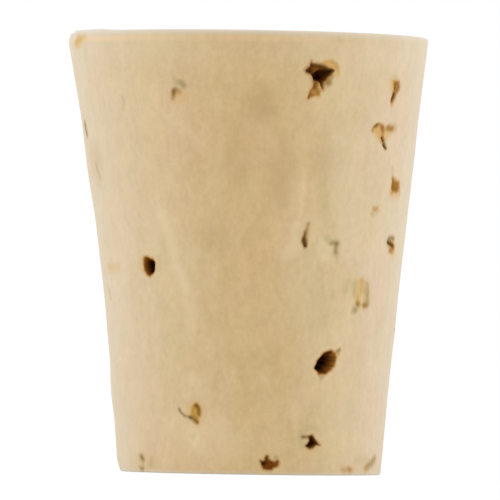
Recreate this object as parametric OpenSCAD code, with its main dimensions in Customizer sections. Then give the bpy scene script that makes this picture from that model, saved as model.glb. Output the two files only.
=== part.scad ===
// Tapered stopper, cut in one piece from natural cork bark and ground to shape.
// It stands on its narrow end. The origin is the middle of that end, +Z is up, -Y is the front.
// Angles round the stopper are counted from the front, positive to the viewer's right.

/* [Body] */
// Diameter of the wide end
large_d = 22.4; // [18:0.1:30]
// Diameter of the narrow end
small_d = 16.2; // [10:0.1:17.5]
// Length between the two level ends
length = 27; // [20:0.5:40]
// How far the ground side is hollow at mid length
side_hollow = 0.3; // [0.05:0.05:0.6]
// How far the taper leans to the left of square with the ends, in degrees
taper_lean = 1; // [0:0.25:2]

/* [Rubbed edges] */
// Radius of the edge round the wide end
large_edge_r = 0.3; // [0.15:0.05:0.8]
// Radius of the edge round the narrow end
small_edge_r = 0.25; // [0.15:0.05:0.8]

/* [Pores] */
// Depth of the pores that are open
open_depth = 1.3; // [0.6:0.1:2.5]
// Depth of the pores whose mouth only has crumbled
crumbled_depth = 0.5; // [0.3:0.05:0.8]
// Depth of the channels that skim the flanks and the ends
channel_depth = 0.7; // [0.4:0.05:1.2]
// Size of a pore's floor against its mouth
floor_share = 0.55; // [0.3:0.05:0.9]
// Direction of the channels through the cork, turned to the right of the front, in degrees
grain_turn = 15; // [-45:5:45]

/* [Hidden] */

cork_colour = [0.84, 0.74, 0.57];
large_r = large_d / 2;
small_r = small_d / 2;
overcut = 0.3;
over_length = 1;
side_steps = 6;
edge_crease = 20;
round_fn = 120;

// Pores of the front, each as its mouth in the plane of the side, x to the viewer's right.
star_mouth = [
    [-0.65, 0.85], [0.1, 0.65], [0.5, 0.4], [1.05, 0.25], [0.75, -0.1], [0.55, -0.4], [0.15, -0.95],
    [-0.1, -0.5], [-0.3, -0.9], [-0.7, -1.45], [-0.45, -0.55], [-0.5, -0.2], [-1, 0.25], [-0.65, 0.45]
];
star_core = [
    [-0.35, 0.05], [-0.1, 0.3], [0.4, 0.3], [0.95, 0.2], [0.65, -0.2], [0.45, -0.45], [0, -0.4],
    [-0.3, -0.25]
];
comma_mouth = [
    [-0.2, 0.85], [0.45, 0.5], [0.35, 0.2], [0.15, -0.3], [0.05, -1], [-0.35, -0.5], [-0.15, -0.1],
    [-0.6, 0.6]
];
heart_mouth = [
    [-0.5, 0.7], [0.05, 0.45], [1.35, 0.45], [1.15, 0.15], [0.6, -0.35], [0.65, -0.85], [-0.05, -0.4],
    [-0.65, -0.2], [-0.95, 0.3]
];
block_mouth = [[-0.6, 0.5], [0, 0.35], [0.45, 0.3], [0.8, -0.25], [0.55, -0.5], [-0.5, -0.5], [-0.55, 0.05]];
hook_mouth = [
    [-0.65, 0.35], [-0.1, 0.45], [0.4, 0.3], [0.7, -0.05], [0.55, -0.4], [-0.1, -0.6], [-0.15, -0.1]
];
slit_mouth = [[0.2, 0.85], [0.1, 0], [0.25, -0.4], [0.05, -0.6], [-0.2, -0.4], [-0.2, -0.05], [-0.05, 0.3]];
patch_mouth = [
    [0.05, 1], [0.6, 0.35], [0.9, -0.15], [0.85, -0.65], [0.45, -0.65], [0.15, -0.05], [-0.15, -0.6],
    [-0.35, -1], [-0.5, -0.8], [-0.2, -0.1], [-0.6, 0.35]
];
oval_mouth = [
    [0.8, 0.95], [0.4, 0.75], [0.05, 0.7], [-0.6, 0.2], [-0.75, -0.25], [-0.4, -0.7], [-0.2, -0.85],
    [0.3, -0.6], [0.55, -0.4], [0.7, 0], [0.75, 0.45]
];
chip_mouth = [
    [-0.35, 0.55], [0.05, 0.5], [0.5, 0.3], [0.4, -0.2], [0.15, -0.55], [-0.15, -0.55], [-0.5, 0.15]
];
tick_mouth = [
    [0.15, 0.6], [0.4, 0.1], [0.2, -0.6], [-0.3, -0.35], [-0.75, -0.2], [-1.1, 0.25], [-0.6, -0.05],
    [-0.3, -0.15], [-0.2, 0.4]
];
claw_mouth = [
    [-0.05, 0.45], [0.35, 0.1], [0.6, -0.2], [0.15, -0.15], [0, -0.4], [-0.35, -0.3], [-0.15, 0.05],
    [-0.55, 0.3]
];
crown_mouth = [
    [-0.15, 0.55], [0.05, 0.2], [0.5, 0.3], [0.65, 0.1], [0.45, -0.1], [0.3, -0.4], [-0.3, -0.35],
    [-0.55, 0.1], [-0.3, 0.25]
];

// Each row: angle round the stopper, share of the length above the narrow end, mouth, depth.
// The star's mouth has crumbled wide round a deeper core.
front_pores = [
    [24, 0.901, star_mouth, crumbled_depth],
    [24, 0.901, star_core, open_depth],
    [57, 0.867, comma_mouth, crumbled_depth],
    [51, 0.771, heart_mouth, crumbled_depth],
    [65, 0.653, block_mouth, crumbled_depth],
    [66, 0.523, hook_mouth, crumbled_depth],
    [20, 0.535, slit_mouth, crumbled_depth],
    [47, 0.401, patch_mouth, crumbled_depth],
    [32, 0.252, oval_mouth, open_depth],
    [-42, 0.473, chip_mouth, open_depth],
    [-24, 0.139, tick_mouth, crumbled_depth],
    [27, 0.074, claw_mouth, open_depth],
    [8, 0.024, crown_mouth, crumbled_depth]
];

// Smaller and hidden pores have ragged round mouths.
// Each row: angle, share of the length, width, height, depth, seed of the mouth's outline.
small_pores = [
    [-25, 0.872, 0.6, 0.7, crumbled_depth, 11],
    [51, 0.599, 0.8, 0.6, crumbled_depth, 12],
    [-54, 0.024, 0.7, 0.6, crumbled_depth, 13],
    [67, 0.025, 1.4, 0.7, crumbled_depth, 14]
];
back_pores = [
    [128, 0.83, 0.9, 1.7, open_depth, 21],
    [146, 0.58, 1.3, 1, open_depth, 22],
    [163, 0.91, 0.7, 0.8, crumbled_depth, 23],
    [171, 0.22, 1.5, 1.9, open_depth, 24],
    [184, 0.69, 0.8, 1.4, crumbled_depth, 25],
    [196, 0.41, 1.2, 0.9, open_depth, 26],
    [209, 0.86, 1.6, 1.3, open_depth, 27],
    [221, 0.12, 0.9, 0.8, open_depth, 28],
    [233, 0.55, 0.7, 1.1, crumbled_depth, 29],
    [152, 0.06, 1, 0.7, open_depth, 30]
];
// On the flanks, near a quarter turn from the grain, the channels are cut lengthwise.
// Their angles are counted from the grain.
flank_channels = [
    [-111, 0.466, 2, 0.6, channel_depth, 41],
    [-114, 0.77, 2.4, 0.8, channel_depth, 42],
    [-112, 0.16, 1.6, 0.5, channel_depth, 43],
    [-117, 0.3, 2.2, 0.9, channel_depth, 44],
    [88, 0.92, 3.4, 0.6, channel_depth, 45],
    [94, 0.66, 5.4, 1, channel_depth, 46],
    [87, 0.37, 3, 0.6, channel_depth, 47],
    [97, 0.13, 4.4, 0.8, channel_depth, 48]
];
// On the ends they run across as grooves.
// Each row: place along and across the grain, length, width, seed of the mouth's outline.
large_end_grooves = [
    [-3.5, -5.4, 6.5, 0.9, 61],
    [4.2, -2.1, 5, 0.7, 62],
    [-2, 1.6, 8.5, 1.1, 63],
    [3.6, 5.7, 4.6, 0.8, 64]
];
small_end_grooves = [
    [2.2, -3.6, 4.4, 0.7, 71],
    [-1.6, 0.4, 6.2, 1, 72],
    [1.8, 4.1, 3.4, 0.6, 73]
];

// The axis leans, and the side runs hollow between the two rims, in straight steps.
function axis_x(z) = -z * tan(taper_lean);
function side_r(z) =
    let (t = z / length)
    small_r + (large_r - small_r) * t - 4 * side_hollow * t * (1 - t);
side_rings = [for (i = [0:side_steps]) let (z = i / side_steps * length) [side_r(z), z]];
// How far a step of the side slopes outwards, in degrees.
function step_slope(i) =
    let (rise = side_rings[i + 1] - side_rings[i])
    atan(rise[0] / rise[1]);
small_slope = step_slope(0);
large_slope = step_slope(side_steps - 1);

// A round mouth broken into spikes and notches, the same ones each time for one seed.
function ragged(wide, tall, seed) =
    let (corners = 11, reach = rands(0.6, 1, corners, seed))
    [for (i = [0:corners - 1])
        let (turn = 360 * i / corners)
        [wide / 2 * reach[i] * cos(turn), tall / 2 * reach[i] * sin(turn)]];

// The ground side, a little longer than the stopper at both ends.
module ground_taper() {
    below = side_rings[0] - over_length * [tan(small_slope), 1];
    above = side_rings[side_steps] + over_length * [tan(large_slope), 1];
    rotate([0, -taper_lean, 0])
        rotate_extrude($fn = round_fn)
            polygon(concat([[0, below[1]], below], side_rings, [above, [0, above[1]]]));
}

// A level end with its rubbed edge. Past the edge it opens a little wider than the side slopes.
module rubbed_end(rim_r, edge_r, slope) {
    wall_slope = slope + edge_crease / 2;
    middle = rim_r + edge_r * tan(slope) - edge_r * cos(edge_crease) / cos(slope);
    foot = [middle + edge_r * cos(wall_slope), edge_r - edge_r * sin(wall_slope)];
    top = foot + (length + over_length) * [tan(wall_slope), 1];
    rotate_extrude($fn = round_fn)
        union() {
            polygon([[0, 0], [middle, 0], [middle, edge_r], foot, top, [0, top[1]]]);
            translate([middle, edge_r]) circle(r = edge_r, $fn = round_fn);
        }
}

// Cut level, a leaning taper has a round end whose middle lies a little off its axis.
function end_shift(rim_r, slope) = -rim_r * tan(slope) * sin(taper_lean);

module body() {
    intersection() {
        ground_taper();
        translate([end_shift(small_r, small_slope), 0, 0])
            rubbed_end(small_r, small_edge_r, small_slope);
        translate([axis_x(length) + end_shift(large_r, large_slope), 0, length])
            mirror([0, 0, 1])
                rubbed_end(large_r, large_edge_r, -large_slope);
    }
}

// A pit that narrows from its mouth, at z = 0, down to its floor.
module pit(mouth, depth) {
    top_share = 1 + (1 - floor_share) * overcut / depth;
    translate([0, 0, -depth])
        linear_extrude(height = depth + overcut, scale = top_share / floor_share)
            scale(floor_share) polygon(mouth);
}

// Puts a pit on the side, square to the axis.
module on_side(angle, share) {
    z = share * length;
    translate([axis_x(z), 0, z])
        rotate([0, 0, angle - 90])
            translate([side_r(z), 0, 0])
                rotate([90, 0, 90])
                    children();
}

module side_pores() {
    for (pore = front_pores)
        on_side(pore[0], pore[1]) pit(pore[2], pore[3]);
    for (pore = concat(small_pores, back_pores))
        on_side(pore[0], pore[1]) pit(ragged(pore[2], pore[3], pore[5]), pore[4]);
    for (pore = flank_channels)
        on_side(grain_turn + pore[0], pore[1]) pit(ragged(pore[2], pore[3], pore[5]), pore[4]);
}

module end_grooves(grooves) {
    rotate([0, 0, grain_turn - 90])
        for (groove = grooves)
            translate([groove[0], groove[1], 0])
                pit(ragged(groove[2], groove[3], groove[4]), channel_depth);
}

module stopper() {
    color(cork_colour)
        difference() {
            body();
            side_pores();
            translate([axis_x(length), 0, length]) end_grooves(large_end_grooves);
            mirror([0, 0, 1]) end_grooves(small_end_grooves);
        }
}

stopper();
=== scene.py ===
import functools
import math
import random
import bmesh
import bpy
from mathutils import Color, Matrix, Vector, noise
from mathutils.kdtree import KDTree


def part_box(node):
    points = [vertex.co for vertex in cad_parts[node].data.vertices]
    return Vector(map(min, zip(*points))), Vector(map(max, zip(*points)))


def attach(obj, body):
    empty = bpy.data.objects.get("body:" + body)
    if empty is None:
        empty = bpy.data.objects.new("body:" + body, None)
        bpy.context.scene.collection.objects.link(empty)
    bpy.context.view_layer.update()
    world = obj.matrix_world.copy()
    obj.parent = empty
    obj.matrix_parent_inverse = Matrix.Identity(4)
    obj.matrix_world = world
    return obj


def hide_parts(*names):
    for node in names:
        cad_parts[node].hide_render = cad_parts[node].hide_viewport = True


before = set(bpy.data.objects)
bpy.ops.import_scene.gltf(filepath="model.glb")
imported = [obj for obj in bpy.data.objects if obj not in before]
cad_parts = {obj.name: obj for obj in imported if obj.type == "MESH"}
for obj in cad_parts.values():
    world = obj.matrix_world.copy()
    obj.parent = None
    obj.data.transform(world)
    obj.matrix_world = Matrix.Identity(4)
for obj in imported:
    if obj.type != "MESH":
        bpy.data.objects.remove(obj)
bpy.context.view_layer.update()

# Sizes are in millimetres until the finished mesh is scaled to metres.
# The stopper stands on its narrow end, and its front faces -Y. Angles round it are counted
# from the front, in degrees, positive to the viewer's right.
MM = 0.001
box_low, box_high = (Vector(corner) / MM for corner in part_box("stopper"))
LENGTH = box_high.z - box_low.z
LARGE_R = 11.19
SMALL_R = 8.13
SIDE_HOLLOW = 0.27
SIDE_BOW = 0.167
TAPER_LEAN = math.radians(1)
LARGE_EDGE_R = 0.16
SMALL_EDGE_R = 0.1
GRAIN_TURN = 15
# How far the ground side waves in and out, and how tightly.
UNEVEN = 0.03
UNEVEN_PITCH = 0.3
# Low swells of the side: angle, share of the length, reach round and up, height.
SWELLS = ((-90, 0.69, 7, 3.6, 0.08), (-90, 0.185, 6, 2.2, 0.1), (90, 0.7, 7, 4, 0.03),
          (-90, 0, 5, 0.8, -0.15))
# The wide end rises towards its left side: by how much, from how far off the axis, over what
# width, and how far down the side it is felt.
END_RISE = 0.08
RISE_START = 8.2
RISE_WIDTH = 1.5
RISE_DEPTH = 1

# The blank's grid: steps round it and round its edges, rows up the side, rings across each end.
ROUND_STEPS = 180
EDGE_STEPS = 5
SIDE_ROWS = 76
SMALL_END_RINGS = 18
LARGE_END_RINGS = 25
# Corners closer than this are one.
SAME_SPOT = 1e-4
# How far round a pore the grid is halved at each pass.
FINE_MARGINS = (0.36, 0.2, 0.1, 0.05)

# The notches of a broken mouth come in to this share of its size.
NOTCH = 0.6
# How tightly torn edges shake, and which of the possible tears they get.
TEAR_PITCH = 3.1
TEAR_SEED = 1
# Cover under which a spot counts as bare.
BARE = 1e-6
# How much the depth of a pit's floor varies, and how tightly.
PIT_UNEVEN = 0.25
PIT_PITCH = 2.3

# Colours of the cork and of what lines its pores, each as red, green and blue out of 255.
CORK_ROSE = (176, 140, 95)
CORK_STRAW = (166, 145, 90)
CORK_PALE = (234, 205, 155)
# Black of the pits' floors: partly their dark lining, partly painted shade.
PIT_SHADE_BLACK = (40, 15, 5)
UMBER = (102, 62, 22)
RUST = (130, 76, 28)
CHESTNUT = (150, 84, 24)
WALNUT = (132, 76, 24)
AMBER = (164, 116, 54)
GOLD = (194, 148, 82)
HONEY = (218, 180, 124)
PEEL = (234, 196, 146)
BRONZE = (138, 104, 44)
TAWNY = (202, 156, 80)
OLIVE = (144, 124, 80)
MOSS = (184, 168, 120)
CREAM = (232, 214, 176)
FLAX = (208, 174, 108)
RIM_GREY = (217, 206, 188)
# Grey painted on the foot's rim as painted light against its shade from the floor.
FOOT_PAINTED_LIGHT = (212, 197, 170)
# White of the dust on the cork, and of the painted sheen where it is seen edge on.
DUST_AND_SHEEN_WHITE = (248, 246, 240)

# Name of the attribute that holds the marks' colours and how far they cover the cork.
STAIN = "stain"

# How much each layer of patches weighs in the shade of the cork, and the shade under them.
BAND_WEIGHT = 0.14
CLOUD_WEIGHT = 0.08
MOTTLING_WEIGHT = 0.28
GRAIN_WEIGHT = 0.27
SPECK_WEIGHT = 0.15
GROUND_SHADE = 0.07
# How strongly each layer of the finish shows.
BAND_SHARE = 0.3
YEAR_SHARE = 0.3
DUST_SHARE = 0.05
TOP_DUST_SHARE = 0.035
RIM_SHARE = 0.8
# How much of the rim's paleness is lost towards the right.
RIM_LOSS = 0.4
# How strongly the peeled line shows on the left half, and how much more at its left end.
PEEL_SHARE = 0.35
PEEL_END_SHARE = 0.3
# How wide a growth line is, in the range of its noise.
YEAR_LINE = 0.04
# How much crumbs and specks each raise the surface.
CRUMB_RELIEF = 0.6
SPECK_RELIEF = 0.4
# How strongly a painted sheen pales the cork towards white where it is seen edge on, and how fast.
PAINTED_SHEEN = 0.42
PAINTED_SHEEN_FALL = 0.8

# Bands of the finish, each from where it starts to where it is full.
FOOT_END = (0.02, 0.06)
TOP_END = (LENGTH - 0.06, LENGTH - 0.02)
TOP_RIM_UP = (LENGTH - 0.5, LENGTH)
TOP_RIM_OUT = (LARGE_R - 0.5, LARGE_R - 0.15)
TOP_RIM_FADE = (2, 8)
# Where the foot's rim is painted paler as painted light.
FOOT_RIM_UP = (-0.05, 0.3)
FOOT_RIM_OUT = (SMALL_R - 0.6, SMALL_R - 0.2)
PEEL_START = (LENGTH - 0.8, LENGTH - 0.52)
PEEL_STOP = (LENGTH - 0.46, LENGTH - 0.25)
PEEL_BACK = (-4, 0)
PEEL_RIGHT = (2, 6)
PEEL_LEFT = (-11, -5)
TOP_DUST = (LENGTH - 3, LENGTH - 1)


def blend(low, high, share):
    """A number or a colour part of the way from low to high."""
    if isinstance(low, (tuple, list)):
        return tuple(blend(a, b, share) for a, b in zip(low, high))
    return low + (high - low) * share


def ease(value):
    """A value held between 0 and 1, with soft ends."""
    value = min(1, max(0, value))
    return value * value * (3 - 2 * value)


def linear(colour):
    """A colour out of 255 as the light values that a shader uses."""
    return tuple(Color([part / 255 for part in colour]).from_srgb_to_scene_linear())


def centre_x(z):
    """Where the leaning axis passes at a height."""
    share = z / LENGTH
    return -z * math.tan(TAPER_LEAN) + 4 * SIDE_BOW * share * (1 - share)


def side_r(z):
    """Radius of the ground side at a height."""
    share = z / LENGTH
    return blend(SMALL_R, LARGE_R, share) - 4 * SIDE_HOLLOW * share * (1 - share)


def placed(middle, right, up, out):
    """A frame from its middle and its three axes."""
    turn = Matrix((right, up, out)).transposed()
    return Matrix.Translation(middle) @ turn.to_4x4()


def side_place(angle, share):
    """Frame of a spot on the side: x to the viewer's right, y up, z out of the cork."""
    turn = math.radians(angle)
    z = share * LENGTH
    out = Vector((math.sin(turn), -math.cos(turn), 0))
    right = Vector((math.cos(turn), math.sin(turn), 0))
    middle = Vector((centre_x(z), 0, z)) + out * side_r(z)
    return placed(middle, right, Vector((0, 0, 1)), out)


def rim_place(angle):
    """Frame of a spot on the wide end's edge, which faces half outwards and half up."""
    side = side_place(angle, 1)
    right, up, out = (side.col[axis].to_3d() for axis in range(3))
    return placed(side.translation, right, (up - out).normalized(), (up + out).normalized())


def end_place(along, across, top):
    """Frame of a spot on an end: x along the grain, z out of the cork."""
    turn = math.radians(GRAIN_TURN - 90)
    grain = Vector((math.cos(turn), math.sin(turn), 0))
    square = Vector((-math.sin(turn), math.cos(turn), 0))
    z = LENGTH if top else 0
    middle = Vector((centre_x(z), 0, z)) + grain * along + square * across
    return placed(middle, grain, square, Vector((0, 0, 1 if top else -1)))


def ragged(wide, tall, seed, corners=11):
    """A round mouth broken into spikes and notches."""
    chance = random.Random(seed)
    outline = []
    for corner in range(corners):
        turn = 2 * math.pi * corner / corners
        reach = chance.uniform(NOTCH, 1) / 2
        outline.append((wide * reach * math.cos(turn), tall * reach * math.sin(turn)))
    return outline


class Mark:
    """A patch of the surface: where it lies, how deep it is cut and how it is coloured.

    Its points are a closed outline, or the middle of a stroke when it has a width. An outline may
    grow on all sides, and a rough edge wanders by so much. The cut reaches its depth at a wall's
    width inside the edge. The colour goes from tone at the rim to deep at the full depth, covers
    what lies under it as far as show says, and fades over the soft width. The grid under the mark
    is halved in so many passes.
    """

    def __init__(self, place, points, tone, show=1, soft=0.12, depth=0, wall=0.2, deep=None,
                 width=0, grow=0, rough=0.06, passes=2, behind=0.6):
        self.place = place
        self.level = place.inverted()
        self.points = [Vector(point) for point in points]
        self.tone = linear(tone)
        self.deep = linear(deep or tone)
        self.show = show
        self.soft = soft
        self.depth = depth
        self.wall = wall
        self.width = width
        self.grow = grow
        self.rough = rough
        self.passes = passes
        self.reach = max(point.length for point in self.points) + width + grow + soft + rough
        # How far behind its plane it still colours the round side.
        self.behind = behind + self.reach ** 2 / (2 * SMALL_R)

    def inside(self, spot):
        """How far a spot of the mark's plane lies inside its edge, less than 0 outside it."""
        nearest = self.reach * 2
        crossings = 0
        ends = self.points[1:] if self.width else self.points[1:] + self.points[:1]
        for start, end in zip(self.points, ends):
            edge = end - start
            offset = spot - start
            along = min(1, max(0, offset.dot(edge) / edge.length_squared))
            nearest = min(nearest, (offset - edge * along).length)
            if (start.y > spot.y) != (end.y > spot.y):
                crossings += offset.x < offset.y / edge.y * edge.x
        if self.width:
            return self.width / 2 - nearest
        return self.grow + (nearest if crossings % 2 else -nearest)

    def frayed(self, spot):
        """The same for a spot of the cork, with an uneven edge."""
        seat = Vector((spot.x, spot.y, self.place.translation.z))
        spot = spot + noise.noise_vector(seat * TEAR_PITCH) * self.rough
        return min(self.inside(spot.xy), spot.z + self.behind)


def in_order(turned):
    """The same mesh with its faces in the order of their corners, which a spin leaves to chance."""
    turned.verts.index_update()
    faces = []
    for face in turned.faces:
        corners = [vert.index for vert in face.verts]
        first = corners.index(min(corners))
        faces.append(corners[first:] + corners[:first])
    blank = bmesh.new()
    verts = [blank.verts.new(vert.co) for vert in turned.verts]
    for corners in sorted(faces):
        blank.faces.new([verts[corner] for corner in corners])
    turned.free()
    return blank


def turned_blank():
    """The plain ground taper, with round edges, as a closed grid."""
    turned = bmesh.new()
    outline = ((0, 0, 0), (SMALL_R, 0, 0), (LARGE_R, 0, LENGTH), (0, 0, LENGTH))
    corners = [turned.verts.new(corner) for corner in outline]
    for pair in zip(corners, corners[1:]):
        turned.edges.new(pair)
    slope = math.atan((LARGE_R - SMALL_R) / LENGTH)
    rims = ((corners[1], SMALL_EDGE_R, -slope), (corners[2], LARGE_EDGE_R, slope))
    for corner, radius, lean in rims:
        bmesh.ops.bevel(turned, geom=[corner], offset=radius * math.tan(math.pi / 4 + lean / 2),
                        offset_type="OFFSET", affect="VERTICES", segments=EDGE_STEPS,
                        profile=0.5, material=-1)
    # The three longest edges are the narrow end, the wide end and the side.
    by_length = sorted(turned.edges, key=lambda edge: edge.calc_length())
    for edge, cuts in zip(by_length[-3:], (SMALL_END_RINGS, LARGE_END_RINGS, SIDE_ROWS)):
        bmesh.ops.subdivide_edges(turned, edges=[edge], cuts=cuts)
    bmesh.ops.spin(turned, geom=turned.verts[:] + turned.edges[:], cent=(0, 0, 0),
                   axis=(0, 0, 1), dvec=(0, 0, 0), angle=2 * math.pi, steps=ROUND_STEPS,
                   use_merge=True, use_duplicate=False)
    bmesh.ops.remove_doubles(turned, verts=turned.verts, dist=SAME_SPOT)
    bmesh.ops.recalc_face_normals(turned, faces=turned.faces)
    return in_order(turned)


def ground_to_shape(blank):
    """Grinds the side hollow and a little uneven, leans it and bows it, and lifts the end."""
    places = [(side_place(angle, share).translation, across, tall, height)
              for angle, share, across, tall, height in SWELLS]
    for vert in blank.verts:
        plain = blend(SMALL_R, LARGE_R, vert.co.z / LENGTH)
        radius = side_r(vert.co.z) + UNEVEN * noise.noise(vert.co * UNEVEN_PITCH)
        for middle, across, tall, height in places:
            away = (vert.co - middle).xy.length / across
            radius += height * ease(1 - math.hypot(away, (vert.co.z - middle.z) / tall))
        vert.co.x = vert.co.x * radius / plain + centre_x(vert.co.z)
        vert.co.y *= radius / plain
        near_top = ease((vert.co.z - LENGTH) / RISE_DEPTH + 1)
        vert.co.z += END_RISE * near_top * ease((-vert.co.x - RISE_START) / RISE_WIDTH)


def refine(blank, marks):
    """Halves the grid round every mark, a few times over."""
    for step, margin in enumerate(FINE_MARGINS):
        faces = list(blank.faces)
        tree = KDTree(len(faces))
        for index, face in enumerate(faces):
            tree.insert(face.calc_center_median(), index)
        tree.balance()
        picked = set()
        for mark in marks:
            if mark.passes <= step:
                continue
            near = tree.find_range(mark.place.translation, mark.reach + margin)
            for at, index, _ in near:
                if index not in picked and mark.inside((mark.level @ at).xy) > -margin:
                    picked.add(index)
        chosen = {edge for index in picked for edge in faces[index].edges}
        # In the mesh's own order, so that each run gives the same grid.
        edges = [edge for edge in blank.edges if edge in chosen]
        bmesh.ops.subdivide_edges(blank, edges=edges, cuts=1, use_grid_fill=True)
        many_sided = [face for face in blank.faces if len(face.verts) > 4]
        bmesh.ops.triangulate(blank, faces=many_sided)


def cut(blank, marks):
    """Cuts and colours every mark, each over those before it."""
    stain = blank.verts.layers.float_color.new(STAIN)
    verts = list(blank.verts)
    tree = KDTree(len(verts))
    for index, vert in enumerate(verts):
        vert[stain] = (0, 0, 0, 0)
        tree.insert(vert.co, index)
    tree.balance()
    for mark in marks:
        out = mark.place.to_3x3() @ Vector((0, 0, 1))
        for at, index, _ in tree.find_range(mark.place.translation, mark.reach):
            inside = mark.frayed(mark.level @ at)
            # Half of the soft width lies outside the edge.
            cover = mark.show * ease(inside / mark.soft + 0.5)
            if cover <= 0 and inside <= 0:
                continue
            vert = verts[index]
            sunk = ease(inside / mark.wall)
            vert.co -= out * mark.depth * sunk * (1 + PIT_UNEVEN * noise.noise(at * PIT_PITCH))
            colour = blend(mark.tone, mark.deep, sunk)
            old = vert[stain]
            whole = cover + old[3] * (1 - cover)
            for part in range(3):
                kept = old[part] * old[3] * (1 - cover)
                old[part] = (colour[part] * cover + kept) / max(whole, BARE)
            old[3] = whole


class Link:
    """A node's output that can be used in sums."""

    def __init__(self, finish, socket):
        self.finish = finish
        self.socket = socket

    def other(self, name):
        """Another output of the same node."""
        return Link(self.finish, self.socket.node.outputs[name])

    def sum(self, operation, first, second):
        """The result of a Math node."""
        return self.finish.node("ShaderNodeMath", {"operation": operation}, {0: first, 1: second})

    def __add__(self, other):
        return self.sum("ADD", self, other)

    def __radd__(self, other):
        return self.sum("ADD", other, self)

    def __sub__(self, other):
        return self.sum("SUBTRACT", self, other)

    def __rsub__(self, other):
        return self.sum("SUBTRACT", other, self)

    def __mul__(self, other):
        return self.sum("MULTIPLY", self, other)

    def __rmul__(self, other):
        return self.sum("MULTIPLY", other, self)

    def __pow__(self, other):
        return self.sum("POWER", self, other)


class Finish:
    """The nodes of a material or of the world."""

    def __init__(self, owner):
        owner.use_nodes = True
        self.owner = owner
        self.tree = owner.node_tree
        self.tree.nodes.clear()

    def node(self, kind, settings=None, inputs=None, output=0):
        """Adds a node: its settings first, then what its sockets hold or are linked to."""
        node = self.tree.nodes.new(kind)
        for name, value in (settings or {}).items():
            setattr(node, name, value)
        for name, value in (inputs or {}).items():
            if isinstance(value, Link):
                self.tree.links.new(value.socket, node.inputs[name])
            else:
                node.inputs[name].default_value = value
        return Link(self, node.outputs[output]) if node.outputs else node

    def mix(self, share, low, high):
        """A colour part of the way from low to high."""
        low, high = (value if isinstance(value, Link) else (*value, 1) for value in (low, high))
        return self.node("ShaderNodeMix", {"data_type": "RGBA"}, {0: share, 6: low, 7: high}, 2)

    def part(self, vector, axis):
        """One of a vector's three numbers."""
        return self.node("ShaderNodeSeparateXYZ", {}, {0: vector}, axis)

    def length(self, first, second):
        """Distance from the axis of a spot that lies so far from it both ways."""
        return self.node("ShaderNodeMath", {"operation": "SQRT"},
                         {0: first * first + second * second})

    def size(self, value):
        """A value without its sign."""
        return self.node("ShaderNodeMath", {"operation": "ABSOLUTE"}, {0: value})

    def step(self, value, low, high):
        """0 below low and 1 above high, with a soft step between."""
        return self.node("ShaderNodeMapRange", {"interpolation_type": "SMOOTHSTEP"},
                         {"Value": value, "From Min": low, "From Max": high})


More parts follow.
